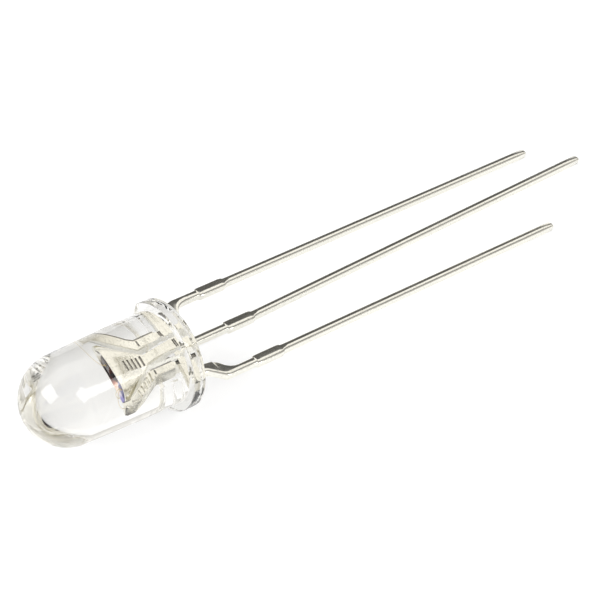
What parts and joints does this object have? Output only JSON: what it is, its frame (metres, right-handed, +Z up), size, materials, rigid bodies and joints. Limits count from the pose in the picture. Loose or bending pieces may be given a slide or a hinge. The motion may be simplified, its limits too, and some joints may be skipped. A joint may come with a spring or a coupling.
{
  "type": "through hole led",
  "caption": "Clear round-nosed LED lamp with a flanged body, a reflector cup with a red and a blue chip inside, and long straight leads sharing one plane.",
  "frame": {"origin": "on the axis of the lens, at the middle of its straight cylindrical stretch", "axes": "+Z up as the lamp lies at rest on a table; the leads run towards +X, sloping down to the table; the lead beside the flat is on the +Y side"},
  "size_m": [0.0375, 0.0059, 0.006],
  "materials": {
    "clear_body": "clear cast epoxy, glossy",
    "plated_lead": "silver-plated steel, satin with fine drawn grain",
    "red_chip": "semiconductor crystal, dark red, glossy",
    "blue_chip": "semiconductor crystal on a clear base, violet-blue, glossy",
    "silver_paste": "silver-filled adhesive, matte",
    "clear_paste": "pale adhesive, matte",
    "wire": "fine gold wire"
  },
  "bodies": {
    "root": {"lens": "clear_body", "flat_side_lead": "plated_lead", "middle_lead": "plated_lead", "far_side_lead": "plated_lead", "red_die": "red_chip", "blue_die": "blue_chip", "red_paste": "silver_paste", "blue_paste": "clear_paste", "red_wire": "wire", "blue_wire": "wire", "blue_return_wire": "wire"}
  },
  "joints": []
}
